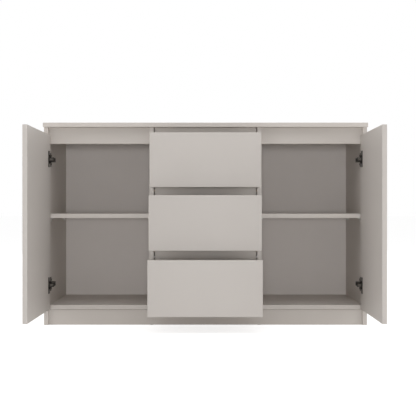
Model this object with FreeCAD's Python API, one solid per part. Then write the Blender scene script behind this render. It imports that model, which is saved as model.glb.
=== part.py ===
import FreeCAD, Part
import os
from math import atan2, cos, degrees, hypot, radians, sin

from FreeCAD import Vector

# Handle-less sideboard of laminated chipboard: a hinged door on each side and three drawers between.
# Millimetres. +X is the user's right, +Y the back, +Z up. The origin lies on the floor in the middle
# of the closed cabinet's footprint. Doors and drawers are modelled closed, then opened to rest.

# Overall size, doors and drawers closed
overall_width = 1200.0
overall_depth = 400.0
overall_height = 750.0

# Board thicknesses
board = 16.0
drawer_board = 12.0
thin_board = 3.0
edge_round = 0.8

# Carcass
top_overhang = 1.0
glide_height = 1.0
plinth_top = 58.5
plinth_gap = 1.2
plinth_setback = 10.0
bottom_setback = 6.0
rail_height = 60.0
rail_setback = 12.0
drawer_rail_gap = 2.6
back_edge_gap = 0.5
nail_head_height = 0.6

# Fronts
front_edge_setback = 1.5
front_reveal = 3.0
front_gap = 2.0
finger_gap = 29.0
plinth_reveal = 2.0

# Shelves
shelf_height = 398.0
shelf_setback = 10.0
shelf_play = 0.8
shelf_pin_inset = 45.0

# Rest pose
door_open_angle = 89.6
upper_pull = 102.0
middle_pull = 155.0
lower_pull = 209.0

# Flat-pack fittings
cam_radius = 7.5
cam_depth = 12.5
cam_distance = 24.0
bolt_radius = 2.2
bolt_bore_radius = 3.6
bolt_head_radius = 3.2
bolt_thread_radius = 2.5
bolt_thread_length = 11.0
bolt_collar_radius = 5.0
dowel_radius = 4.0
dowel_in_face = 9.0
dowel_in_edge = 20.0
fit_gap = 0.05
pilot_end_gap = 0.5
cam_cross_reach = 4.0
cam_cross_depth = 1.5
cross_width = 0.9
screw_cross_reach = 2.0
screw_cross_depth = 0.8
fitting_inset = 50.0
dowel_spacing = 32.0
rail_cam_rise = 16.0
rail_dowel_drop = 8.0
drawer_rail_cam_drop = 18.0
drawer_rail_dowel_rise = 5.0
plinth_cam_rise = 10.0
plinth_dowel_drop = 12.0

# Drawers
runner_length = 350.0
runner_space = 12.5
runner_setback = 3.0
runner_sheet = 1.2
drawer_height = 120.0
drawer_side_rise = 28.5
drawer_bottom_rise = 8.0
groove_depth = 6.0
groove_play = 0.2
roller_radius = 8.0
roller_width = 7.0
roller_inset = 10.0
axle_radius = 2.0
rolling_gap = 0.1
flange_width = 9.0
runner_play = 0.8
runner_web = 18.0
axle_play = 0.6
axle_head = 0.6
axle_head_radius = 3.2
runner_screw_head = 1.0
cabinet_screw_length = 11.0
drawer_screw_length = 5.0
runner_screw_shares = (0.2, 0.5, 0.8)
drawer_cam_radius = 6.0
drawer_cam_depth = 9.5
drawer_fitting_spread = 30.0
corner_screw_length = 38.0

# Concealed hinges: the door's cup, the arm on the side panel, and two cranked links between them
hinge_end_distance = 90.0
cup_radius = 17.5
cup_depth = 11.5
cup_wall = 0.8
cup_edge_distance = 5.0
cup_flange = 1.2
cup_rim = 1.2
cup_wing_width = 24.0
cup_wing_reach = 30.0
cup_wing_round = 2.0
cup_screw_pitch = 48.0
cup_screw_shift = 6.0
cup_pin_radius = 1.25
arm_pin_radius = 1.5
pin_gap = 0.05
arm_eye_wall = 1.1
cup_eye_wall = 0.7
screw_radius = 1.8
screw_head_radius = 3.4
door_screw_length = 14.0
door_opening = 95.0
link_ratio = -0.451
arm_pin = (28.7, -5.43)
guide_arm_pin = (34.0, -1.84)
cup_pin_depth = 2.1
guide_cup_pin_depth = 5.74
cup_pin = (10.91, front_gap + cup_pin_depth)
guide_cup_pin = (12.77, front_gap + guide_cup_pin_depth)
link_gap = 0.2
link_half_width = 1.6
carrier_half_height = 4.0
carrier_cranks = ((11.0, -10.97), (17.82, -0.84))
guide_inner_height = 4.5
guide_sheet = 1.2
guide_cranks = ((0.44, 3.59), (9.41, 7.95))
nose_radius = 2.6
arm_half_width = 7.6
arm_sheet = 1.2
arm_top = 32.0
arm_back = -58.0
arm_web_front = -10.0
arm_foot_gap = 2.0
arm_screw_radius = 2.0
arm_screw_head_radius = 3.5
arm_setter_line = -19.0
arm_setter_head_radius = 2.5
arm_setter_head_height = 1.0
plate_sheet = 3.0
plate_hub_rise = 3.5
plate_back = -52.0
plate_front = -13.0
hub_front = -24.0
plate_screw_line = -37.0
plate_bar_width = 16.0
plate_wing_width = 11.0
plate_wing_reach = 26.0
plate_screw_pitch = 32.0
plate_screw_radius = 3.0
plate_screw_length = 11.0
plate_screw_head_radius = 4.2
plate_screw_head_height = 2.0
hub_half_width = 6.2

# Derived places in the carcass
carcass_front = -overall_depth / 2 + board + front_gap
carcass_back = overall_depth / 2 - thin_board - nail_head_height
top_underside = overall_height - board
side_outer = overall_width / 2 - top_overhang
side_inner = side_outer - board
front_width = (overall_width - 2 * front_edge_setback - 2 * front_reveal) / 3
partition_centre = (front_width + front_reveal) / 2
partition_outer = partition_centre + board / 2
partition_inner = partition_centre - board / 2
bottom_top = plinth_top + board
front_foot = plinth_top + plinth_reveal
front_top = top_underside - finger_gap
drawer_front_height = (front_top - front_foot - 2 * finger_gap) / 3
drawer_pitch = drawer_front_height + finger_gap
closed_back = carcass_front - front_gap
closed_face = closed_back - board
door_edge = overall_width / 2 - front_edge_setback
door_free_edge = door_edge - front_width
side_panel_across = door_edge - side_inner

# Each node's solid, and the bores still to be cut in it
nodes = {}
bores = {}


def block(x, y, z):
    """Rectangular solid between two coordinates along each axis."""
    corner = Vector(min(x), min(y), min(z))
    return Part.makeBox(max(x) - min(x), max(y) - min(y), max(z) - min(z), corner)


def rod(radius, start, along, length):
    """Round bar or bore from a start point along a direction."""
    return Part.makeCylinder(radius, length, start, along)


def eased(solid, edges=None):
    """Board with its edges slightly rounded, as edge banding leaves them."""
    return solid.makeFillet(edge_round, edges or solid.Edges)


def mirrored(shape):
    """The same piece on the other side of the cabinet."""
    return shape.mirror(Vector(0, 0, 0), Vector(1, 0, 0))


def cross_recess(mouth, into, reach, depth):
    """Cross to cut in a screw's head, for the driver."""
    arms = [(-reach, reach), (-cross_width / 2, cross_width / 2)]
    cross = block(arms[0], arms[1], (0, depth)).fuse(block(arms[1], arms[0], (0, depth)))
    cross.Placement = FreeCAD.Placement(mouth, FreeCAD.Rotation(Vector(0, 0, 1), into))
    return cross


def add(name, solid):
    """Put a solid in a node; a node of like pieces holds several."""
    nodes.setdefault(name, []).append(solid)


def bore(name, tool):
    """Note a hole to cut in a node once it is whole."""
    bores.setdefault(name, []).append(tool)


# ---- Carcass boards ----------------------------------------------------------------------------

carcass_depth = (carcass_front, carcass_back)
panel_height = (glide_height, top_underside)

add("top_panel", eased(block(
    (-overall_width / 2, overall_width / 2), (-overall_depth / 2, overall_depth / 2),
    (top_underside, overall_height))))
add("bottom_panel", block(
    (-side_inner, side_inner), (carcass_front + bottom_setback, carcass_back),
    (plinth_top, bottom_top)))

side_panel = block((-side_outer, -side_inner), carcass_depth, panel_height)
partition = block((-partition_outer, -partition_inner), carcass_depth, (bottom_top, top_underside))
add("left_side_panel", side_panel)
add("right_side_panel", mirrored(side_panel))
add("left_partition", partition)
add("right_partition", mirrored(partition))

plinth_front = carcass_front + plinth_setback
plinth_height = (glide_height, plinth_top - plinth_gap)
add("plinth", block((-side_inner, side_inner), (plinth_front, plinth_front + board), plinth_height))

rail_front = carcass_front + rail_setback
rail_depth = (rail_front, rail_front + board)
top_rail_height = (top_underside - rail_height, top_underside)
side_bay_rail = block((-side_inner, -partition_outer), rail_depth, top_rail_height)
add("left_top_rail", side_bay_rail)
add("right_top_rail", mirrored(side_bay_rail))

# Rails of the drawer bay: one under the top, one behind each gap between two drawer fronts. Collars
# on their bolts keep them a little clear of the partitions.
drawer_rail_end = partition_inner - drawer_rail_gap
drawer_rails = {"drawer_top_rail": top_underside - rail_height / 2}
for rail_name, gaps_below in (("lower_drawer_rail", 1), ("upper_drawer_rail", 2)):
    drawer_rails[rail_name] = front_foot + gaps_below * drawer_pitch - finger_gap / 2
for rail_name, middle in drawer_rails.items():
    add(rail_name, block(
        (-drawer_rail_end, drawer_rail_end), rail_depth,
        (middle - rail_height / 2, middle + rail_height / 2)))


# ---- Backs and their nails ---------------------------------------------------------------------

back_depth = (carcass_back, carcass_back + thin_board)
back_foot = plinth_top + back_edge_gap
back_height = (back_foot, top_underside - back_edge_gap)
back_outer = side_outer - back_edge_gap
side_back = block((-back_outer, -partition_centre - back_edge_gap), back_depth, back_height)
add("left_back_panel", side_back)
add("right_back_panel", mirrored(side_back))
back_centre_edge = partition_centre - back_edge_gap
add("centre_back_panel", block((-back_centre_edge, back_centre_edge), back_depth, back_height))

nail_radius = 0.9
nail_head_radius = 2.5
nail_length = 18.0
nail_edge_distance = 4.0
nails_per_edge = 4


def nail(x, z, board_name, back_name):
    """Back nail: its head on the fibreboard, its shank through it into a carcass board."""
    inward = Vector(0, -1, 0)
    head = rod(nail_head_radius, Vector(x, overall_depth / 2, z), inward, nail_head_height)
    shank = rod(nail_radius, Vector(x, overall_depth / 2, z), inward, nail_length)
    hole = rod(nail_radius + fit_gap, Vector(x, overall_depth / 2, z), inward,
               nail_length + pilot_end_gap)
    add("back_nails", head.fuse(shank).removeSplitter())
    bore(board_name, hole)
    bore(back_name, hole)


nail_rise = (top_underside - bottom_top) / nails_per_edge
for step in range(nails_per_edge):
    height = bottom_top + nail_rise * (step + 0.5)
    for side, sign in (("left", -1), ("right", 1)):
        nail(sign * (side_outer - board / 2), height, side + "_side_panel", side + "_back_panel")
        nail(sign * (partition_centre + nail_edge_distance), height,
             side + "_partition", side + "_back_panel")
        nail(sign * (partition_centre - nail_edge_distance), height,
             side + "_partition", "centre_back_panel")
bay_middle = (side_inner + partition_outer) / 2
for x, back_name in ((-bay_middle, "left_back_panel"), (0, "centre_back_panel"),
                     (bay_middle, "right_back_panel")):
    nail(x, plinth_top + board / 2, "bottom_panel", back_name)


# ---- Flat-pack fittings: cams with their bolts, and dowels --------------------------------------

bolt_neck = 1.0
cam_recess = 0.3


def cam_fitting(place, into, face, edge_name, face_name, node="cam_fittings",
                thickness=board, radius=cam_radius, depth=cam_depth, apart=0.0):
    """Bolt screwed into one board's face, and the cam that draws the next board's edge up to it.

    place is where the bolt enters the end of the edge board, in the middle of its thickness; into
    points into that board; face points out of the side of it that the cam is let into. If the two
    boards stay apart, a collar on the bolt fills the space.
    """
    mouth = place + into * cam_distance + face * (thickness / 2)
    cam = rod(radius - fit_gap, mouth - face * cam_recess, face * -1, depth - cam_recess)
    slot_start = cam_distance - radius - bolt_neck
    slot = rod(bolt_bore_radius, place + into * slot_start, into, radius + bolt_bore_radius)
    cross = cross_recess(mouth - face * cam_recess, face * -1, cam_cross_reach, cam_cross_depth)
    add(node, cam.cut([slot, cross]))

    wall = place - into * apart
    thread = rod(bolt_thread_radius, wall - into * bolt_thread_length, into, bolt_thread_length)
    neck = rod(bolt_thread_radius, place, into, bolt_neck)
    shank = rod(bolt_radius, wall, into, apart + cam_distance)
    head_start = cam_distance - bolt_head_radius
    head = rod(bolt_head_radius, place + into * head_start, into, bolt_head_radius)
    collar = [rod(bolt_collar_radius, wall, into, apart)] if apart else []
    add(node, thread.fuse([neck, shank, head] + collar).removeSplitter())

    bore(edge_name, rod(radius, mouth, face * -1, depth))
    bore(edge_name, rod(bolt_bore_radius, place, into, cam_distance))
    bore(face_name, rod(bolt_thread_radius + fit_gap, wall, into * -1,
                        bolt_thread_length + pilot_end_gap))


def dowel(place, into, edge_name, face_name, apart=0.0):
    """Fluted beech dowel across a joint, shown plain."""
    wall = place - into * apart
    add("wood_dowels", rod(dowel_radius, wall - into * dowel_in_face, into,
                           dowel_in_face + apart + dowel_in_edge))
    hole_radius = dowel_radius + fit_gap
    bore(edge_name, rod(hole_radius, place, into, dowel_in_edge + pilot_end_gap))
    bore(face_name, rod(hole_radius, wall, into * -1, dowel_in_face + pilot_end_gap))


up = Vector(0, 0, 1)
down = Vector(0, 0, -1)
backward = Vector(0, 1, 0)
cam_places = (carcass_front + fitting_inset, carcass_back - fitting_inset)
dowel_places = (cam_places[0] + dowel_spacing, cam_places[1] - dowel_spacing)
bottom_middle = plinth_top + board / 2
side_middle = side_outer - board / 2
rail_middle = rail_front + board / 2
top_rail_middle = top_underside - rail_height / 2
plinth_middle = plinth_front + board / 2
plinth_middle_height = sum(plinth_height) / 2

for side, sign in (("left", -1), ("right", 1)):
    outward = Vector(sign, 0, 0)
    inward = Vector(-sign, 0, 0)
    side_panel_name = side + "_side_panel"
    partition_name = side + "_partition"

    for y in cam_places:
        cam_fitting(Vector(sign * side_middle, y, top_underside), down, inward,
                    side_panel_name, "top_panel")
        cam_fitting(Vector(sign * partition_centre, y, top_underside), down, outward,
                    partition_name, "top_panel")
        cam_fitting(Vector(sign * side_inner, y, bottom_middle), inward, down,
                    "bottom_panel", side_panel_name)
        cam_fitting(Vector(sign * partition_centre, y, bottom_top), up, outward,
                    partition_name, "bottom_panel")
    for y in dowel_places:
        dowel(Vector(sign * side_middle, y, top_underside), down, side_panel_name, "top_panel")
        dowel(Vector(sign * partition_centre, y, top_underside), down, partition_name, "top_panel")
        dowel(Vector(sign * side_inner, y, bottom_middle), inward, "bottom_panel", side_panel_name)
        dowel(Vector(sign * partition_centre, y, bottom_top), up, partition_name, "bottom_panel")

    # Top rail of the side bay, held at its outer and inner end
    rail_name = side + "_top_rail"
    for x, into, face_name in ((sign * side_inner, inward, side_panel_name),
                               (sign * partition_outer, outward, partition_name)):
        cam_fitting(Vector(x, rail_middle, top_rail_middle + rail_cam_rise), into, backward,
                    rail_name, face_name)
        dowel(Vector(x, rail_middle, top_rail_middle - rail_dowel_drop), into,
              rail_name, face_name)

    # Rails of the drawer bay
    for rail_name, middle in drawer_rails.items():
        x = sign * drawer_rail_end
        cam_fitting(Vector(x, rail_middle, middle - drawer_rail_cam_drop), inward, backward,
                    rail_name, partition_name, apart=drawer_rail_gap)
        dowel(Vector(x, rail_middle, middle + drawer_rail_dowel_rise), inward,
              rail_name, partition_name, drawer_rail_gap)

    # Plinth between the side panels
    cam_fitting(Vector(sign * side_inner, plinth_middle, plinth_middle_height + plinth_cam_rise),
                inward, backward, "plinth", side_panel_name)
    dowel(Vector(sign * side_inner, plinth_middle, plinth_middle_height - plinth_dowel_drop),
          inward, "plinth", side_panel_name)
    dowel(Vector(sign * (partition_centre + dowel_spacing), plinth_middle, plinth_height[1]),
          down, "plinth", "bottom_panel", plinth_gap)


# ---- Floor glides ------------------------------------------------------------------------------

glide_radius = 7.0
glide_pin_radius = 1.2
glide_pin_length = 14.0
glide_inset = 25.0


def floor_glide(x, y, board_name):
    """Nail-on glide: a plastic disc under a board's lower edge."""
    disc = rod(glide_radius, Vector(x, y, 0), up, glide_height)
    pin = rod(glide_pin_radius, Vector(x, y, 0), up, glide_height + glide_pin_length)
    add("floor_glides", disc.fuse(pin).removeSplitter())
    bore(board_name, rod(glide_pin_radius + fit_gap, Vector(x, y, glide_height), up,
                         glide_pin_length + pilot_end_gap))


for side, sign in (("left", -1), ("right", 1)):
    for y in (carcass_front + glide_inset, carcass_back - glide_inset):
        floor_glide(sign * side_middle, y, side + "_side_panel")
    floor_glide(sign * partition_centre, plinth_middle, "plinth")


# ---- Shelves and their pins --------------------------------------------------------------------

shelf_depth = (carcass_front + shelf_setback, carcass_back - shelf_play)
shelf = block((-side_inner + shelf_play, -partition_outer - shelf_play), shelf_depth,
              (shelf_height, shelf_height + board))
add("left_shelf", shelf)
add("right_shelf", mirrored(shelf))

shelf_peg_radius = 2.5
shelf_peg_length = 9.0
shelf_lug_length = 9.0
shelf_lug_width = 10.0
shelf_lug_sheet = 2.0
shelf_lug_height = 14.0


def shelf_pin(wall, y, into_bay, board_name):
    """Metal shelf support: a peg in the board and a right-angled lug under the shelf."""
    across = (y - shelf_lug_width / 2, y + shelf_lug_width / 2)
    foot = shelf_height - shelf_lug_height
    lug = block((wall, wall + into_bay * shelf_lug_length), across,
                (shelf_height - shelf_lug_sheet, shelf_height))
    plate = block((wall, wall + into_bay * shelf_lug_sheet), across, (foot, shelf_height))
    peg_start = Vector(wall + into_bay * shelf_lug_sheet, y, foot + shelf_lug_height / 2)
    peg_way = Vector(-into_bay, 0, 0)
    peg = rod(shelf_peg_radius, peg_start, peg_way, shelf_lug_sheet + shelf_peg_length)
    add("shelf_pins", plate.fuse([lug, peg]).removeSplitter())
    bore(board_name, rod(shelf_peg_radius + fit_gap, peg_start, peg_way,
                         shelf_lug_sheet + shelf_peg_length + pilot_end_gap))


for side, sign in (("left", -1), ("right", 1)):
    for y in (shelf_depth[0] + shelf_pin_inset, shelf_depth[1] - shelf_pin_inset):
        shelf_pin(sign * side_inner, y, -sign, side + "_side_panel")
        shelf_pin(sign * partition_outer, y, sign, side + "_partition")


# ---- Doors and concealed hinges ----------------------------------------------------------------
# A hinge is laid out in plan, with the door closed: "across" runs from the door's hinge-side edge
# towards the bay, and "forward" from the carcass front towards the user. The carrying link turns on
# the arm's outer pin and holds the door at the cup's outer pin. The guiding link turns on the cup's
# inner pin, and its wide eye leaves the arm's inner pin loose. An opening angle turns both links.


def turned(point, centre, angle):
    """A plan point turned about a centre, the way the door opens."""
    across, forward = point[0] - centre[0], point[1] - centre[1]
    cosine, sine = cos(radians(angle)), sin(radians(angle))
    return (centre[0] + cosine * across - sine * forward,
            centre[1] + sine * across + cosine * forward)


def with_door(point, opening):
    """Where a plan point of the closed door is when the door is open by an angle."""
    pin = turned(cup_pin, arm_pin, link_ratio * opening)
    carried = (point[0] + pin[0] - cup_pin[0], point[1] + pin[1] - cup_pin[1])
    return turned(carried, pin, opening)


def guide_line(opening):
    """Length and angle from the cup's inner pin to the arm's inner pin."""
    pin = with_door(guide_cup_pin, opening)
    across, forward = guide_arm_pin[0] - pin[0], guide_arm_pin[1] - pin[1]
    return hypot(across, forward), degrees(atan2(forward, across))


def beside(start, end, reach, aside):
    """Plan point a distance along the line between two points, and to the left of it."""
    length = hypot(end[0] - start[0], end[1] - start[1])
    across, forward = (end[0] - start[0]) / length, (end[1] - start[1]) / length
    return (start[0] + reach * across - aside * forward, start[1] + reach * forward + aside * across)


def plan(point, height):
    """Place of a plan point of the left door's hinges, at a height."""
    return Vector(-door_edge + point[0], carcass_front - point[1], height)


def post(point, radius, low, high):
    """Upright pin, boss or bore."""
    return rod(radius, plan(point, low), up, high - low)


def slab(points, low, high):
    """Flat piece with a polygon outline."""
    outline = Part.makePolygon([plan(point, low) for point in list(points) + [points[0]]])
    return Part.Face(outline).extrude(Vector(0, 0, high - low))


def strap(points, low, high):
    """Flat cranked link through some points, rounded at its bends and ends."""
    pieces = [post(point, link_half_width, low, high) for point in points]
    for start, end in zip(points, points[1:]):
        length = hypot(end[0] - start[0], end[1] - start[1])
        corners = [beside(start, end, reach, aside)
                   for reach, aside in ((0, -link_half_width), (length, -link_half_width),
                                        (length, link_half_width), (0, link_half_width))]
        pieces.append(slab(corners, low, high))
    return pieces[0].fuse(pieces[1:])


def opened(piece):
    """A piece of the left door, moved from closed to rest."""
    pin = turned(cup_pin, arm_pin, link_ratio * door_open_angle)
    moved = piece.copy()
    moved.rotate(plan(cup_pin, 0), up, -door_open_angle)
    moved.translate(plan(pin, 0) - plan(cup_pin, 0))
    return moved


def add_pair(name, solid):
    """Put a left-hand piece in its node and its mirror image in the right-hand one."""
    add("left_" + name, solid)
    add("right_" + name, mirrored(solid))


# The guiding link turns evenly with the door. Its line through these shares of the opening keeps the
# eye's miss about equal at both ends and in the middle.
even_shares = (0.146, 0.854)
guide_angles = [guide_line(door_opening * share)[1] for share in even_shares]
guide_ratio = (guide_angles[1] - guide_angles[0]) / (door_opening * (even_shares[1] - even_shares[0]))
guide_closed_angle = guide_angles[0] - guide_ratio * door_opening * even_shares[0]
openings = [door_opening * step / 20 for step in range(21)]
guide_lengths = [guide_line(opening)[0] for opening in openings]
guide_length = (min(guide_lengths) + max(guide_lengths)) / 2


def guide_eye_miss(opening):
    """How far the guiding link's eye centre lies from the arm pin that it leaves loose."""
    length, angle = guide_line(opening)
    aside = radians(angle - guide_closed_angle - guide_ratio * opening) * length
    return hypot(length - guide_length, aside)


guide_eye_bore = arm_pin_radius + max(guide_eye_miss(opening) for opening in openings) + link_gap
guide_tip = (guide_cup_pin[0] + guide_length * cos(radians(guide_closed_angle)),
             guide_cup_pin[1] + guide_length * sin(radians(guide_closed_angle)))

door = eased(block((-door_edge, -door_free_edge), (closed_face, closed_back),
                   (front_foot, front_top)))
cup_middle = (cup_edge_distance + cup_radius, front_gap)
into_door = Vector(0, -1, 0)
cup_inner_radius = cup_radius - cup_wall
hinge_heights = (front_foot + hinge_end_distance, front_top - hinge_end_distance)

for height in hinge_heights:
    # Cup pressed into the door, with its flange and two wood screws
    mouth = plan(cup_middle, height)
    cup = rod(cup_radius - fit_gap, mouth, into_door, cup_depth)
    rim = rod(cup_radius + cup_rim, mouth - into_door * cup_flange, into_door, cup_flange)
    wing_across = (mouth.x - cup_wing_width / 2 + cup_screw_shift,
                   mouth.x + cup_wing_width / 2 + cup_screw_shift)
    wing = block(wing_across, (mouth.y, mouth.y + cup_flange),
                 (height - cup_wing_reach, height + cup_wing_reach))
    wing = wing.makeFillet(cup_wing_round, [edge for edge in wing.Edges
                                            if edge.BoundBox.YLength > cup_flange / 2])
    hollow = rod(cup_inner_radius, mouth - into_door * cup_flange, into_door,
                 cup_flange + cup_depth - cup_wall)
    body = cup.fuse([rim, wing]).cut(hollow)
    for pin in (cup_pin, guide_cup_pin):
        pin_edge = cup_middle[0] - pin[0] + cup_pin_radius
        reach = (cup_inner_radius ** 2 - pin_edge ** 2) ** 0.5 + cup_wall / 2
        body = body.fuse(post(pin, cup_pin_radius, height - reach, height + reach))
    screws = []
    for rise in (-cup_screw_pitch / 2, cup_screw_pitch / 2):
        seat = mouth + Vector(cup_screw_shift, cup_flange, rise)
        head = Part.makeCone(screw_head_radius, screw_radius, cup_flange, seat, into_door)
        shank = rod(screw_radius, seat, into_door, door_screw_length)
        cross = cross_recess(seat, into_door, screw_cross_reach, screw_cross_depth)
        screws.append(head.fuse(shank).cut(cross).removeSplitter())
        body = body.cut(rod(screw_head_radius + fit_gap, seat, into_door, cup_flange))
        bore("left_door", opened(rod(screw_radius + fit_gap, seat, into_door,
                                     door_screw_length + pilot_end_gap)))
    bore("left_door", opened(rod(cup_radius, mouth, into_door, cup_depth + pilot_end_gap)))
    add_pair("hinge_cups", opened(body.removeSplitter()))
    for screw in screws:
        add_pair("hinge_cups", opened(screw))

    # Mounting plate on the side panel, a low cross held by two screws
    plate_low = side_panel_across
    plate_high = plate_low + plate_sheet
    hub_high = plate_high + plate_hub_rise
    bar = slab(((plate_low, plate_back), (plate_high, plate_back), (plate_high, plate_front),
                (plate_low, plate_front)), height - plate_bar_width / 2, height + plate_bar_width / 2)
    wings = slab(((plate_low, plate_screw_line - plate_wing_width / 2),
                  (plate_high, plate_screw_line - plate_wing_width / 2),
                  (plate_high, plate_screw_line + plate_wing_width / 2),
                  (plate_low, plate_screw_line + plate_wing_width / 2)),
                 height - plate_wing_reach, height + plate_wing_reach)
    hub = slab(((plate_low, plate_back), (hub_high, plate_back), (hub_high, hub_front),
                (plate_low, hub_front)), height - hub_half_width, height + hub_half_width)
    inward = Vector(1, 0, 0)
    plate = bar.fuse([wings, hub])
    plate = plate.cut(rod(arm_screw_radius + fit_gap,
                          plan((plate_high, plate_screw_line), height), inward, plate_hub_rise))
    plate_screws = []
    for rise in (-plate_screw_pitch / 2, plate_screw_pitch / 2):
        seat = plan((plate_high, plate_screw_line), height + rise)
        head = rod(plate_screw_head_radius, seat, inward, plate_screw_head_height)
        shank = rod(plate_screw_radius, seat, inward * -1, plate_sheet + plate_screw_length)
        cross = cross_recess(seat + inward * plate_screw_head_height, inward * -1,
                             screw_cross_reach, screw_cross_depth)
        plate_screws.append(head.fuse(shank).cut(cross).removeSplitter())
        hole = rod(plate_screw_radius + fit_gap, seat, inward * -1,
                   plate_sheet + plate_screw_length + pilot_end_gap)
        plate = plate.cut(hole)
        bore("left_side_panel", hole)
        bore("right_side_panel", mirrored(hole))
    for piece in [plate.removeSplitter()] + plate_screws:
        add("hinge_plates", piece)
        add("hinge_plates", mirrored(piece))

    # Arm: a folded channel over the plate, whose nose holds both pins
    arm_foot = plate_high + arm_foot_gap
    arm_inner = arm_half_width - arm_sheet
    nose = nose_radius
    cheek_outline = ((arm_foot, arm_back), (arm_top, arm_back), (arm_top, arm_web_front),
                     (guide_arm_pin[0] + nose, guide_arm_pin[1]),
                     (guide_arm_pin[0], guide_arm_pin[1] + nose),
                     beside(arm_pin, guide_arm_pin, 0, nose),
                     (arm_pin[0] - nose, arm_pin[1]), (arm_foot, arm_web_front))
    arm = slab(((arm_top - arm_sheet, arm_back), (arm_top, arm_back), (arm_top, arm_web_front),
                (arm_top - arm_sheet, arm_web_front)), height - arm_half_width,
               height + arm_half_width)
    for low in (height - arm_half_width, height + arm_inner):
        high = low + arm_sheet
        cheek = slab(cheek_outline, low, high)
        arm = arm.fuse([cheek, post(arm_pin, nose, low, high), post(guide_arm_pin, nose, low, high)])
    for pin in (arm_pin, guide_arm_pin):
        arm = arm.fuse(post(pin, arm_pin_radius, height - arm_half_width, height + arm_half_width))
    clamp = plan((arm_top, plate_screw_line), height)
    setter = plan((arm_top, arm_setter_line), height)
    arm = arm.fuse([
        rod(arm_screw_head_radius, clamp, inward, plate_screw_head_height),
        rod(arm_screw_radius, clamp, inward * -1, arm_top - plate_high - pilot_end_gap),
        rod(arm_setter_head_radius, setter, inward, arm_setter_head_height),
        rod(arm_screw_radius, setter, inward * -1, arm_top - plate_high)])
    arm = arm.cut([
        cross_recess(clamp + inward * plate_screw_head_height, inward * -1,
                     screw_cross_reach, screw_cross_depth),
        cross_recess(setter + inward * arm_setter_head_height, inward * -1,
                     screw_cross_reach, screw_cross_depth)])
    arm = arm.removeSplitter()
    add("hinge_arms", arm)
    add("hinge_arms", mirrored(arm))

    # Carrying link: a cranked bar from the arm's outer pin to the cup's outer pin
    carrier_way = [beside(arm_pin, cup_pin, reach, aside) for reach, aside in carrier_cranks]
    low, high = height - carrier_half_height, height + carrier_half_height
    carrier = strap([arm_pin] + carrier_way + [cup_pin], low, high)
    carrier = carrier.fuse([post(arm_pin, arm_pin_radius + arm_eye_wall, low, high),
                            post(cup_pin, cup_pin_radius + cup_eye_wall, low, high)])
    carrier = carrier.cut([post(arm_pin, arm_pin_radius + pin_gap, low, high),
                           post(cup_pin, cup_pin_radius + pin_gap, low, high)]).removeSplitter()
    carrier.rotate(plan(arm_pin, 0), up, -link_ratio * door_open_angle)
    add_pair("carrying_links", carrier)

    # Guiding link: two cranked cheeks, joined by a tube round the cup's inner pin
    guide_way = [beside(guide_cup_pin, guide_tip, reach, aside) for reach, aside in guide_cranks]
    tube_reach = guide_inner_height + guide_sheet
    guide = post(guide_cup_pin, cup_pin_radius + cup_eye_wall, height - tube_reach,
                 height + tube_reach)
    for low in (height - tube_reach, height + guide_inner_height):
        high = low + guide_sheet
        cheek = strap([guide_cup_pin] + guide_way + [guide_tip], low, high)
        guide = guide.fuse([cheek, post(guide_tip, guide_eye_bore + cup_eye_wall, low, high)])
    guide = guide.cut([
        post(guide_cup_pin, cup_pin_radius + pin_gap, height - tube_reach, height + tube_reach),
        post(guide_tip, guide_eye_bore, height - tube_reach, height + tube_reach)])
    guide = guide.removeSplitter()
    pin = with_door(guide_cup_pin, door_open_angle)
    guide.rotate(plan(guide_cup_pin, 0), up, -guide_ratio * door_open_angle)
    guide.translate(plan(pin, 0) - plan(guide_cup_pin, 0))
    add_pair("guiding_links", guide)

add("left_door", opened(door))
add("right_door", mirrored(opened(door)))
bores["right_door"] = [mirrored(tool) for tool in bores["left_door"]]


# ---- Drawers on roller runners -------------------------------------------------------------------
# A roller at the front of each cabinet runner carries the drawer runner's flange, and a roller at the
# back of the drawer runner rolls between the track and the lip of the cabinet runner.

box_outer = partition_inner - runner_space
box_inner = box_outer - drawer_board
flange_inner = box_outer + runner_sheet
web_inner = partition_inner - runner_sheet
track_inner = flange_inner + runner_play
cabinet_runner_front = carcass_front + runner_setback
cabinet_runner_depth = (cabinet_runner_front, cabinet_runner_front + runner_length)
front_axle = cabinet_runner_front + roller_inset
drawer_levels = (("lower", lower_pull), ("middle", middle_pull), ("upper", upper_pull))


def roller(inner, y, z):
    """Plastic roller on an axle that runs outward from the drawer."""
    start = Vector(inner, y, z)
    outward = Vector(1, 0, 0)
    wheel = rod(roller_radius, start, outward, roller_width)
    return wheel.cut(rod(axle_radius + pin_gap, start, outward, roller_width))


def runner_screw(seat, into, length):
    """Pan-head screw that holds a runner, and the hole for it."""
    head = rod(screw_head_radius, seat, into * -1, runner_screw_head)
    shank = rod(screw_radius, seat, into, length)
    hole = rod(screw_radius + fit_gap, seat, into, length + pilot_end_gap)
    cross = cross_recess(seat - into * runner_screw_head, into, screw_cross_reach, screw_cross_depth)
    return head.fuse(shank).cut(cross).removeSplitter(), hole


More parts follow.
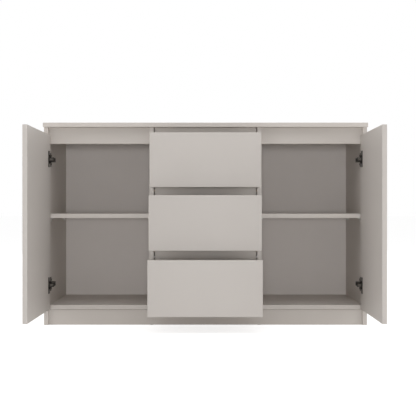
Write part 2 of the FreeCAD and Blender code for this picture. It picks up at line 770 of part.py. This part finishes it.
for level, (drawer, pull) in enumerate(drawer_levels):
    foot = front_foot + level * drawer_pitch
    box_foot = foot + drawer_side_rise
    box_top = box_foot + drawer_height
    front_back = closed_back - pull
    box_back = front_back + runner_length
    sheet_low = box_foot + drawer_bottom_rise
    sheet_high = sheet_low + thin_board
    name = drawer + "_drawer_"

    # Front board, sides and back, grooved for the bottom sheet
    front = eased(block((-front_width / 2, front_width / 2), (front_back - board, front_back),
                        (foot, foot + drawer_front_height)))
    groove_outer = box_inner + groove_depth
    groove = block((-groove_outer, groove_outer), (front_back - groove_depth, box_back),
                   (sheet_low - groove_play, sheet_high + groove_play))
    side_board = block((-box_outer, -box_inner), (front_back, box_back), (box_foot, box_top))
    side_board = side_board.cut(groove)
    add(name + "front", front.cut(groove))
    add(name + "left_side", side_board)
    add(name + "right_side", mirrored(side_board))
    add(name + "back", block((-box_inner, box_inner), (box_back - drawer_board, box_back),
                             (sheet_high + groove_play, box_top)))
    sheet_outer = groove_outer - groove_play
    add(name + "bottom", block((-sheet_outer, sheet_outer),
                               (front_back - groove_depth + groove_play, box_back),
                               (sheet_low, sheet_high)))

    # Cam fittings at the front corners, screws at the back corners
    for side, sign in (("left", -1), ("right", 1)):
        inward = Vector(-sign, 0, 0)
        side_name = name + side + "_side"
        board_middle = sign * (box_outer - drawer_board / 2)
        for rise in (drawer_height / 2 - drawer_fitting_spread,
                     drawer_height / 2 + drawer_fitting_spread):
            cam_fitting(Vector(board_middle, front_back, box_foot + rise), backward, inward,
                        side_name, name + "front", name + "fittings",
                        drawer_board, drawer_cam_radius, drawer_cam_depth)
            seat = Vector(sign * box_outer, box_back - drawer_board / 2, box_foot + rise)
            head = Part.makeCone(screw_head_radius, screw_radius, screw_head_radius - screw_radius,
                                 seat, inward)
            shank = rod(screw_radius, seat, inward, corner_screw_length)
            cross = cross_recess(seat, inward, screw_cross_reach, screw_cross_depth)
            add(name + "fittings", head.fuse(shank).cut(cross).removeSplitter())
            bore(side_name, Part.makeCone(screw_head_radius + fit_gap, screw_radius + fit_gap,
                                          screw_head_radius - screw_radius, seat, inward))
            hole = rod(screw_radius + fit_gap, seat, inward, corner_screw_length + pilot_end_gap)
            bore(side_name, hole)
            bore(name + "back", hole)

    # Drawer runner: a folded strip under and beside the side board, with a flange for the roller
    flange_top = box_foot + runner_web
    axle_height = flange_top - runner_sheet - rolling_gap - roller_radius
    rear_axle = box_back - roller_inset
    length = (front_back, box_back)
    strip = block((flange_inner, box_outer), length, (box_foot - runner_sheet, flange_top))
    strip = strip.fuse([
        block((flange_inner, box_inner), length, (box_foot - runner_sheet, box_foot)),
        block((flange_inner, flange_inner + flange_width),
              (front_back, rear_axle - roller_radius - runner_play),
              (flange_top - runner_sheet, flange_top)),
        rod(axle_radius, Vector(box_outer, rear_axle, axle_height), Vector(1, 0, 0),
            runner_sheet + runner_play + roller_width + axle_head),
        rod(axle_head_radius,
            Vector(flange_inner + runner_play + roller_width + axle_play, rear_axle, axle_height),
            Vector(1, 0, 0), axle_head)]).removeSplitter()
    rear_roller = roller(flange_inner + axle_play, rear_axle, axle_height)

    # Cabinet runner: a channel on the partition, with its roller near the front
    track = axle_height - roller_radius - rolling_gap
    lip = flange_top + runner_play
    channel = block((web_inner, partition_inner), cabinet_runner_depth,
                    (track - runner_sheet, lip + runner_sheet))
    roller_start = web_inner - axle_play - roller_width
    channel = channel.fuse([
        block((track_inner, partition_inner), cabinet_runner_depth, (track - runner_sheet, track)),
        block((track_inner, partition_inner), cabinet_runner_depth, (lip, lip + runner_sheet)),
        rod(axle_radius, Vector(roller_start - axle_play - axle_head, front_axle, axle_height),
            Vector(1, 0, 0), web_inner - roller_start + axle_play + axle_head),
        rod(axle_head_radius, Vector(roller_start - axle_play - axle_head, front_axle, axle_height),
            Vector(1, 0, 0), axle_head)]).removeSplitter()
    front_roller = roller(roller_start, front_axle, axle_height)

    # Screws of both runners
    drawer_screws = []
    cabinet_screws = []
    for share in runner_screw_shares:
        along = share * runner_length
        seat = Vector(flange_inner, front_back + along, box_foot + runner_web / 2)
        screw, hole = runner_screw(seat, Vector(-1, 0, 0), drawer_screw_length)
        strip = strip.cut(hole)
        bore(name + "right_side", hole)
        bore(name + "left_side", mirrored(hole))
        drawer_screws.append(screw)
        seat = Vector(web_inner, cabinet_runner_front + along, axle_height)
        screw, hole = runner_screw(seat, Vector(1, 0, 0), cabinet_screw_length)
        channel = channel.cut(hole)
        bore("right_partition", hole)
        bore("left_partition", mirrored(hole))
        cabinet_screws.append(screw)

    for piece in [strip] + drawer_screws:
        add(name + "runners", piece)
        add(name + "runners", mirrored(piece))
    for piece in [channel] + cabinet_screws:
        add("cabinet_runners", piece)
        add("cabinet_runners", mirrored(piece))
    for piece, node in ((rear_roller, name + "rear_rollers"), (front_roller, name + "cabinet_rollers")):
        add(node, piece)
        add(node, mirrored(piece))


# ---- One STEP file for each node ------------------------------------------------------------------

os.makedirs("parts", exist_ok=True)
for name, solids in nodes.items():
    holes = bores.get(name, [])
    pieces = [solid.cut(holes) if holes else solid for solid in solids]
    shape = pieces[0] if len(pieces) == 1 else Part.makeCompound(pieces)
    shape.exportStep("parts/" + name + ".step")
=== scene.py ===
import bpy
from math import pi, radians
from mathutils import Matrix, Vector

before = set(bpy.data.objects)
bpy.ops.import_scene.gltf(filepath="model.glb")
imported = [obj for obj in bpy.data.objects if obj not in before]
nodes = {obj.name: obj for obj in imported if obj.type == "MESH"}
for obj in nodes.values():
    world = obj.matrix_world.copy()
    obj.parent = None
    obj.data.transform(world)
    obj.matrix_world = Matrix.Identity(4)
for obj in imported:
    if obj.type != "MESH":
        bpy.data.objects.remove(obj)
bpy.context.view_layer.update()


# ---- Carcass boards ----
# The top, bottom, sides, partitions, plinth and rails are 16 mm chipboard with a warm light grey
# melamine face. Seen edges carry a 0.8 mm plastic band, ironed on and scraped flush; hidden edges
# and the drilled holes show raw chips. Cams and dowels hold the boards together.

class Wire:
    """The output of a shader node. Arithmetic on it adds Math nodes."""

    def __init__(self, tree, socket=None):
        self.tree = tree
        self.socket = socket

    def node(self, kind, settings=None, sockets=None, out=0):
        """Add a node: its settings first, then the values or links of its sockets."""
        made = self.tree.nodes.new("ShaderNode" + kind)
        for key, value in (settings or {}).items():
            setattr(made, key, value)
        for key, value in (sockets or {}).items():
            if isinstance(value, Wire):
                self.tree.links.new(value.socket, made.inputs[key])
            else:
                made.inputs[key].default_value = value
        return Wire(self.tree, made.outputs[out] if made.outputs else None)

    def maths(self, operation, *values):
        return self.node("Math", {"operation": operation}, dict(enumerate(values)))

    def __add__(self, other):
        return self.maths("ADD", self, other)

    def __sub__(self, other):
        return self.maths("SUBTRACT", self, other)

    def __rsub__(self, other):
        return self.maths("SUBTRACT", other, self)

    def __mul__(self, other):
        return self.maths("MULTIPLY", self, other)

    def __abs__(self):
        return self.maths("ABSOLUTE", self)

    __radd__ = __add__


def step(value, low, high):
    """0 below low, 1 above high and smooth between; the other way round if low is the higher."""
    return value.node("MapRange", {"interpolation_type": "SMOOTHSTEP"},
                      {"Value": value, "From Min": low, "From Max": high})


def smaller(first, second):
    return first.maths("MINIMUM", first, second)


def larger(first, second):
    return first.maths("MAXIMUM", first, second)


def mixed(mask, first, second):
    """First colour where the mask is 0, second where it is 1."""
    return mask.node("Mix", {"data_type": "RGBA"}, {0: mask, 6: first, 7: second}, out=2)


def shaded(colour, amount):
    """A colour made lighter or darker by a factor."""
    return amount.node("VectorMath", {"operation": "SCALE"}, {0: colour[:3], "Scale": amount})


def mottle(place, size, detail=2.0, stretch=(1, 1, 1)):
    """Soft random pattern between 0 and 1 about 0.5, its patches about the given size in metres."""
    spread = place.node("VectorMath", {"operation": "MULTIPLY"}, {0: place, 1: stretch})
    return place.node("TexNoise", {}, {"Vector": spread, "Scale": 1 / size, "Detail": detail})


def part_of(place, axis):
    """One coordinate of a place, or of a direction."""
    return place.node("SeparateXYZ", {}, {0: place}, out="XYZ".index(axis))


def relief(height, depth, under=None):
    """Surface normal from a height between 0 and 1 that stands for a depth in metres."""
    sockets = {"Height": height, "Strength": 1.0, "Distance": depth}
    if under:
        sockets["Normal"] = under
    return height.node("Bump", {}, sockets)


def new_finish(name):
    """An empty material, and a wire to build its nodes from."""
    material = bpy.data.materials.new(name)
    material.use_nodes = True
    material.node_tree.nodes.clear()
    return material, Wire(material.node_tree)


def close_finish(start, sockets):
    """Principled shader with these sockets, joined to the material's output."""
    shader = start.node("BsdfPrincipled", {}, sockets)
    start.node("OutputMaterial", {}, {"Surface": shader})


def coat(node, material):
    """Give a CAD node a material."""
    mesh = nodes[node].data
    mesh.materials.clear()
    mesh.materials.append(material)


melamine = (0.62, 0.573, 0.53, 1)
chip_tan = (0.46, 0.34, 0.22, 1)
band_thickness = 0.0008
seam_width = (0.00022, 0.00008)
band_depth = (0.0011, 0.0013)
cloud_size, grain_size, smudge_size = 0.16, 0.0016, 0.09
flake_size, flake_stretch, splinters_per_metre = 0.0028, (1, 1, 2.2), 420.0
grain_depth, chip_depth = 0.00003, 0.0006


def board_corners(node, turn):
    """Lowest and highest corner of a board, once it is turned back by an angle."""
    back = Matrix.Rotation(-turn, 3, "Z")
    places = [back @ vertex.co for vertex in nodes[node].data.vertices]
    return [[end(place[axis] for place in places) for axis in range(3)] for end in (min, max)]


def melamine_board(node, through, raw=(), turn=0, colour=melamine):
    """Melamine board: its thickness lies along one axis, and the raw sides have no band.

    Narrow sides show the band near the board's outline and raw chips deeper in, down the holes.
    """
    material, start = new_finish(node + "_melamine")
    place = start.node("TexCoord", out="Object")
    facing = start.node("TexCoord", out="Normal")
    if turn:
        place, facing = [start.node("VectorRotate", {"rotation_type": "Z_AXIS"},
                                    {"Vector": wire, "Angle": -turn}) for wire in (place, facing)]
    low, high = board_corners(node, turn)
    flat = abs(part_of(facing, through))
    narrow = step(flat, 0.75, 0.55)
    inset = None
    for axis in "XYZ".replace(through, ""):
        along = part_of(place, axis)
        nearest = smaller(along - low["XYZ".index(axis)], high["XYZ".index(axis)] - along)
        inset = smaller(inset, nearest) if inset else nearest
    inner = step(inset, *band_depth)
    chips = narrow * inner
    for side in raw:
        sign = 1 if side[0] == "+" else -1
        chips = larger(chips, step(part_of(facing, side[1]) * sign, 0.8, 0.95))

    cloud = mottle(place, cloud_size) - 0.5
    grain = mottle(place, grain_size, 3.0) - 0.5
    seam = step(abs(inset - band_thickness), *seam_width) * step(flat, 0.9, 0.98)
    band = narrow * (1 - inner)
    tone = 1 + cloud * 0.035 + grain * 0.05 + band * 0.02 - seam * 0.16
    flakes = mottle(place, flake_size, 4.0, flake_stretch)
    splinters = start.node("TexVoronoi", {}, {"Vector": place, "Scale": splinters_per_metre},
                           out="Distance")
    pulp = 0.62 + flakes * 0.75 - splinters * 0.35
    base = mixed(chips, shaded(colour, tone), shaded(chip_tan, pulp))
    smudge = mottle(place, smudge_size, 3.0) - 0.5
    rough = 0.47 + smudge * 0.10 + grain * 0.06 - band * 0.08 + chips * 0.40
    skin = relief(grain, grain_depth)
    close_finish(start, {
        "Base Color": base, "Roughness": rough, "Specular IOR Level": 0.42,
        "Normal": relief(flakes * chips, chip_depth, skin)})
    coat(node, material)


for node, through, raw in (
        ("top_panel", "Z", ()),
        ("bottom_panel", "Z", ("+Y", "-X", "+X")),
        ("left_side_panel", "X", ("+Y", "+Z")),
        ("right_side_panel", "X", ("+Y", "+Z")),
        ("left_partition", "X", ("+Y", "+Z", "-Z")),
        ("right_partition", "X", ("+Y", "+Z", "-Z")),
        ("plinth", "Y", ("-X", "+X", "+Z")),
        ("left_top_rail", "Y", ("-X", "+X", "+Z")),
        ("right_top_rail", "Y", ("-X", "+X", "+Z")),
        ("drawer_top_rail", "Y", ("-X", "+X", "+Z")),
        ("upper_drawer_rail", "Y", ("-X", "+X")),
        ("lower_drawer_rail", "Y", ("-X", "+X"))):
    melamine_board(node, through, raw)


# ---- Back panels and nails ----
# The backs are 3 mm hardboard in three pieces: lacquered towards the bays in a greyer, lighter tone
# than the boards, bare brown fibre behind. The greyer tint is the lacquer's own, and part of the
# lightness is painted light that makes up for light falling short inside the bays. Small
# flat-headed steel nails hold them to the rear edges of the boards.

fibre_brown = (0.235, 0.135, 0.070, 1)
# Back lacquer colour: greyer tint of its own, lightened past the boards' melamine as painted light
# for the dim bays.
greyer_back_lacquer_with_painted_light = (0.75, 0.705, 0.675, 1)
sheet_cloud_size, print_size = 0.12, 0.0011
felt_size, strand_size, bark_size = 0.004, 0.0012, 0.0022
strand_depth = 0.00012


def hardboard(node, lacquered, colour):
    """Hardboard sheet, lacquered on the side that faces along one direction."""
    material, start = new_finish(node + "_hardboard")
    place = start.node("TexCoord", out="Object")
    facing = part_of(start.node("TexCoord", out="Normal"), lacquered[1])
    front = step(facing * (1 if lacquered[0] == "+" else -1), 0.6, 0.9)
    cloud = mottle(place, sheet_cloud_size) - 0.5
    print_grain = mottle(place, print_size, 2.0) - 0.5
    lacquer = shaded(colour, 1 + cloud * 0.04 + print_grain * 0.05)
    felt = mottle(place, felt_size, 6.0)
    strands = mottle(place, strand_size, 4.0, (1, 1, 0.35))
    bark = step(mottle(place, bark_size, 1.0), 0.72, 0.80)
    bare = shaded(fibre_brown, 0.55 + felt * 0.6 + strands * 0.5 - bark * 0.35)
    close_finish(start, {
        "Base Color": mixed(front, bare, lacquer),
        "Roughness": 0.86 - front * 0.30 + print_grain * 0.08,
        "Specular IOR Level": 0.35,
        "Normal": relief(strands * (1 - front) + print_grain * front * 0.2, strand_depth)})
    coat(node, material)


for node in ("left_back_panel", "centre_back_panel", "right_back_panel"):
    hardboard(node, "-Y", greyer_back_lacquer_with_painted_light)


even = (1, 1, 1)
streak_size, spot_size = 0.0006, 0.005
streak_depth = 0.00001


def plated(name, colour, rough, scratch, spots):
    """Zinc- or nickel-plated steel: fine rubbed streaks, and duller spots in the plating."""
    material, start = new_finish(name)
    place = start.node("TexCoord", out="Object")
    streaks = mottle(place, streak_size, 3.0, scratch) - 0.5
    dull = step(mottle(place, spot_size, 4.0), 0.52, 0.70)
    close_finish(start, {
        "Base Color": shaded(colour, 1 + streaks * 0.25 - dull * spots),
        "Metallic": 1.0,
        "Roughness": rough + streaks * 0.14 + dull * 0.12,
        "Normal": relief(streaks, streak_depth)})
    return material


nail_grey = (0.52, 0.51, 0.49, 1)
coat("back_nails", plated("nail_steel", nail_grey, 0.34, even, 0.25))


# ---- Cams, bolts and dowels ----
# Die-cast zinc cams lie in the boards' faces and pull on steel bolts screwed into the next board.
# Plain round beech dowels keep the boards in line and are glued in.

zinc = (0.60, 0.60, 0.61, 1)
coat("cam_fittings", plated("cam_zinc", zinc, 0.40, even, 0.20))

beech, start = new_finish("beech_dowel")
place = start.node("TexCoord", out="Object")
beech_tan = (0.62, 0.44, 0.27, 1)
pore_size, pore_depth, ring_size = 0.0008, 0.00008, 0.006
pores = mottle(place, pore_size, 3.0)
ring = mottle(place, ring_size, 2.0)
close_finish(start, {
    "Base Color": shaded(beech_tan, 0.78 + pores * 0.22 + ring * 0.22),
    "Roughness": 0.62 + pores * 0.12,
    "Normal": relief(pores, pore_depth)})
coat("wood_dowels", beech)


# ---- Floor glides ----
# Six thin discs of pale grey moulded plastic, nailed under the side panels and the plinth by their
# own pins. The rim is satin from the mould, and the sole is scuffed dull and grimy by the floor.

glide, start = new_finish("glide_plastic")
place = start.node("TexCoord", out="Object")
sole = step(part_of(start.node("TexCoord", out="Normal"), "Z"), -0.7, -0.95)
scuff_size, scuff_depth = 0.0015, 0.00005
scuff = mottle(place, scuff_size, 4.0)
glide_grey, floor_grime = (0.50, 0.49, 0.46, 1), (0.22, 0.21, 0.19, 1)
close_finish(start, {
    "Base Color": mixed(sole * scuff, glide_grey, floor_grime),
    "Roughness": 0.42 + sole * 0.30 + scuff * 0.10,
    "Normal": relief(scuff, scuff_depth)})
coat("floor_glides", glide)


# ---- Shelves and their supports ----
# One loose shelf in each side bay, of the same melamine board with only its front edge banded. It
# lies on four small stamped steel brackets, whose pegs push into holes in the boards.

for node in ("left_shelf", "right_shelf"):
    melamine_board(node, "Z", ("+Y", "-X", "+X"))
bracket_grey = (0.58, 0.57, 0.55, 1)
coat("shelf_pins", plated("bracket_nickel", bracket_grey, 0.30, (1, 1, 0.2), 0.18))


# ---- Doors ----
# Plain slab doors of the same board, banded all round with softly broken corners and no handle.
# They stand open almost square to the front, each on two concealed hinges.

door_colour = (0.605, 0.563, 0.526, 1)
door_angle = radians(89.6)
melamine_board("left_door", "Y", turn=-door_angle, colour=door_colour)
melamine_board("right_door", "Y", turn=door_angle, colour=door_colour)


# ---- Concealed hinges ----
# Cups pressed into 35 mm holes in the doors, arms clamped on cross plates on the side panels, and
# two cranked links between: stamped steel with a dark smoked-nickel plating, worn a little bright.

smoked_nickel = (0.050, 0.045, 0.040, 1)
coat("hinge_arms", plated("arm_smoked_nickel", smoked_nickel, 0.46, (1, 0.25, 1), 0.30))
coat("hinge_plates", plated("plate_smoked_nickel", smoked_nickel, 0.48, (1, 1, 0.25), 0.30))
for side in ("left", "right"):
    coat(side + "_hinge_cups",
         plated(side + "_cup_smoked_nickel", smoked_nickel, 0.46, (1, 1, 0.3), 0.28))
    for links in ("_carrying_links", "_guiding_links"):
        coat(side + links,
             plated(side + links + "_smoked_nickel", smoked_nickel, 0.42, (0.4, 1, 1), 0.30))


# ---- Drawers ----
# Each drawer has a banded front of the same board and a box of 12 mm melamine boards, with a 3 mm
# hardboard bottom held in grooves. Cams join the front to the sides, and screws the back.

box_colour = (0.620, 0.585, 0.550, 1)
levels = ("upper", "middle", "lower")
for level in levels:
    drawer = level + "_drawer_"
    melamine_board(drawer + "front", "Y", colour=door_colour)
    melamine_board(drawer + "left_side", "X", ("+Y", "-Y"), colour=box_colour)
    melamine_board(drawer + "right_side", "X", ("+Y", "-Y"), colour=box_colour)
    melamine_board(drawer + "back", "Y", ("+X", "-X", "-Z"), colour=box_colour)
    hardboard(drawer + "bottom", "+Z", box_colour)
    coat(drawer + "fittings", plated(drawer + "zinc", zinc, 0.38, even, 0.20))


# ---- Roller runners ----
# Folded steel strips with a pale powder coat: one pair screwed to the partitions, one pair under
# each drawer's sides. White nylon rollers turn on riveted axles at the front and back ends.

peel_size, peel_depth, dust_size = 0.0014, 0.00006, 0.03


def powder_coat(name, colour):
    """Pale powder coat with a fine orange peel."""
    material, start = new_finish(name)
    place = start.node("TexCoord", out="Object")
    peel = mottle(place, peel_size, 1.0) - 0.5
    dust = mottle(place, dust_size, 3.0) - 0.5
    close_finish(start, {
        "Base Color": shaded(colour, 1 + peel * 0.03 + dust * 0.05),
        "Roughness": 0.36 + dust * 0.12,
        "Normal": relief(peel, peel_depth)})
    return material


nylon, start = new_finish("roller_nylon")
place = start.node("TexCoord", out="Object")
tread_size, tread_depth, grime_size = 0.0009, 0.00003, 0.004
tread = mottle(place, tread_size, 2.0, (4, 1, 1)) - 0.5
grime = step(mottle(place, grime_size, 4.0), 0.55, 0.75)
nylon_white, roller_grime = (0.78, 0.77, 0.73, 1), (0.46, 0.45, 0.42, 1)
close_finish(start, {
    "Base Color": mixed(grime * 0.4, nylon_white, roller_grime),
    "Roughness": 0.44 + tread * 0.16,
    "Normal": relief(tread, tread_depth)})

runner_grey = (0.68, 0.67, 0.64, 1)
coat("cabinet_runners", powder_coat("cabinet_runner_coat", runner_grey))
for level in levels:
    coat(level + "_drawer_runners", powder_coat(level + "_runner_coat", runner_grey))
    coat(level + "_drawer_rear_rollers", nylon)
    coat(level + "_drawer_cabinet_rollers", nylon)


# ---- Studio ----
# A plain pale floor under a white surround, with soft lamps in front, behind, above and at both
# sides, and a level camera in front of the cabinet.

def in_sight(start):
    """1 where the camera looks straight or by way of metal or glass, 0 where light only bounces."""
    seen = start.node("LightPath", out="Is Camera Ray")
    for ray in ("Is Glossy Ray", "Is Transmission Ray"):
        seen = larger(seen, start.node("LightPath", out=ray))
    return seen


floor_paint, start = new_finish("studio_floor")
place = start.node("TexCoord", out="Object")
paint_size = 0.5
paint = mottle(place, paint_size) - 0.5
white, floor_white, seen_grey = (1, 1, 1, 1), (0.95, 0.95, 0.95, 1), (0.70, 0.70, 0.70, 1)
matt = start.node("BsdfDiffuse", {}, {"Color": shaded(floor_white, 1 + paint * 0.01)})
pale = start.node("BsdfDiffuse", {}, {"Color": seen_grey})
glow = start.node("Emission", {}, {"Color": white, "Strength": 0.79})
lit = start.node("AddShader", {}, {0: pale, 1: glow})
start.node("OutputMaterial", {}, {
    "Surface": start.node("MixShader", {}, {0: in_sight(start), 1: matt, 2: lit})})
floor_mesh = bpy.data.meshes.new("studio_floor")
floor_side, floor_front, floor_back = 30, -12, 40
floor_mesh.from_pydata([(-floor_side, floor_front, 0), (floor_side, floor_front, 0),
                        (floor_side, floor_back, 0), (-floor_side, floor_back, 0)],
                       [], [(0, 1, 2, 3)])
floor_mesh.materials.append(floor_paint)
floor = bpy.data.objects.new("studio_floor", floor_mesh)
bpy.context.scene.collection.objects.link(floor)

surround = bpy.data.worlds.new("white_surround")
bpy.context.scene.world = surround
surround.use_nodes = True
surround.node_tree.nodes.clear()
sky = Wire(surround.node_tree)
ambient = 0.28
sky.node("OutputWorld", {}, {"Surface": sky.node("Background", {}, {
    "Color": white,
    "Strength": ambient + in_sight(sky) * (1 - ambient)})})


lit_place = Vector((0, -0.2, 0.4))


def soft_lamp(name, place, size, power):
    """Rectangular area lamp that points at the middle of the cabinet's front."""
    lamp = bpy.data.lights.new(name, "AREA")
    lamp.shape = "RECTANGLE"
    lamp.size, lamp.size_y = size
    lamp.energy = power
    lamp_object = bpy.data.objects.new(name, lamp)
    lamp_object.location = place
    ray = lit_place - Vector(place)
    lamp_object.rotation_euler = ray.to_track_quat("-Z", "Y").to_euler()
    bpy.context.scene.collection.objects.link(lamp_object)


soft_lamp("front_softbox", (0.02, -7.0, 0.47), (1.0, 0.7), 78)
soft_lamp("overhead_softbox", (0, -1.8, 3.6), (3.0, 2.2), 27)
soft_lamp("rear_softbox", (0, 4.8, 1.4), (2.4, 1.8), 50)
soft_lamp("rear_overhead_softbox", (0, 1.6, 3.4), (2.4, 1.6), 16)
for side, sign in (("left", -1), ("right", 1)):
    soft_lamp(side + "_softbox", (sign * 4.0, -1.6, 1.0), (1.6, 2.0), 36)
    soft_lamp(side + "_high_softbox", (sign * 3.0, -1.8, 2.6), (1.6, 1.6), 12)

lens = bpy.data.cameras.new("camera")
lens.sensor_width = 36
lens.lens = 71.45
lens.shift_x = -0.0063
lens.shift_y = -0.0006
camera = bpy.data.objects.new("camera", lens)
camera.location = (0.019, -3.244, 0.436)
camera.rotation_euler = (pi / 2, 0, 0)
bpy.context.scene.collection.objects.link(camera)
bpy.context.scene.camera = camera
bpy.context.scene.view_settings.view_transform = "Standard"
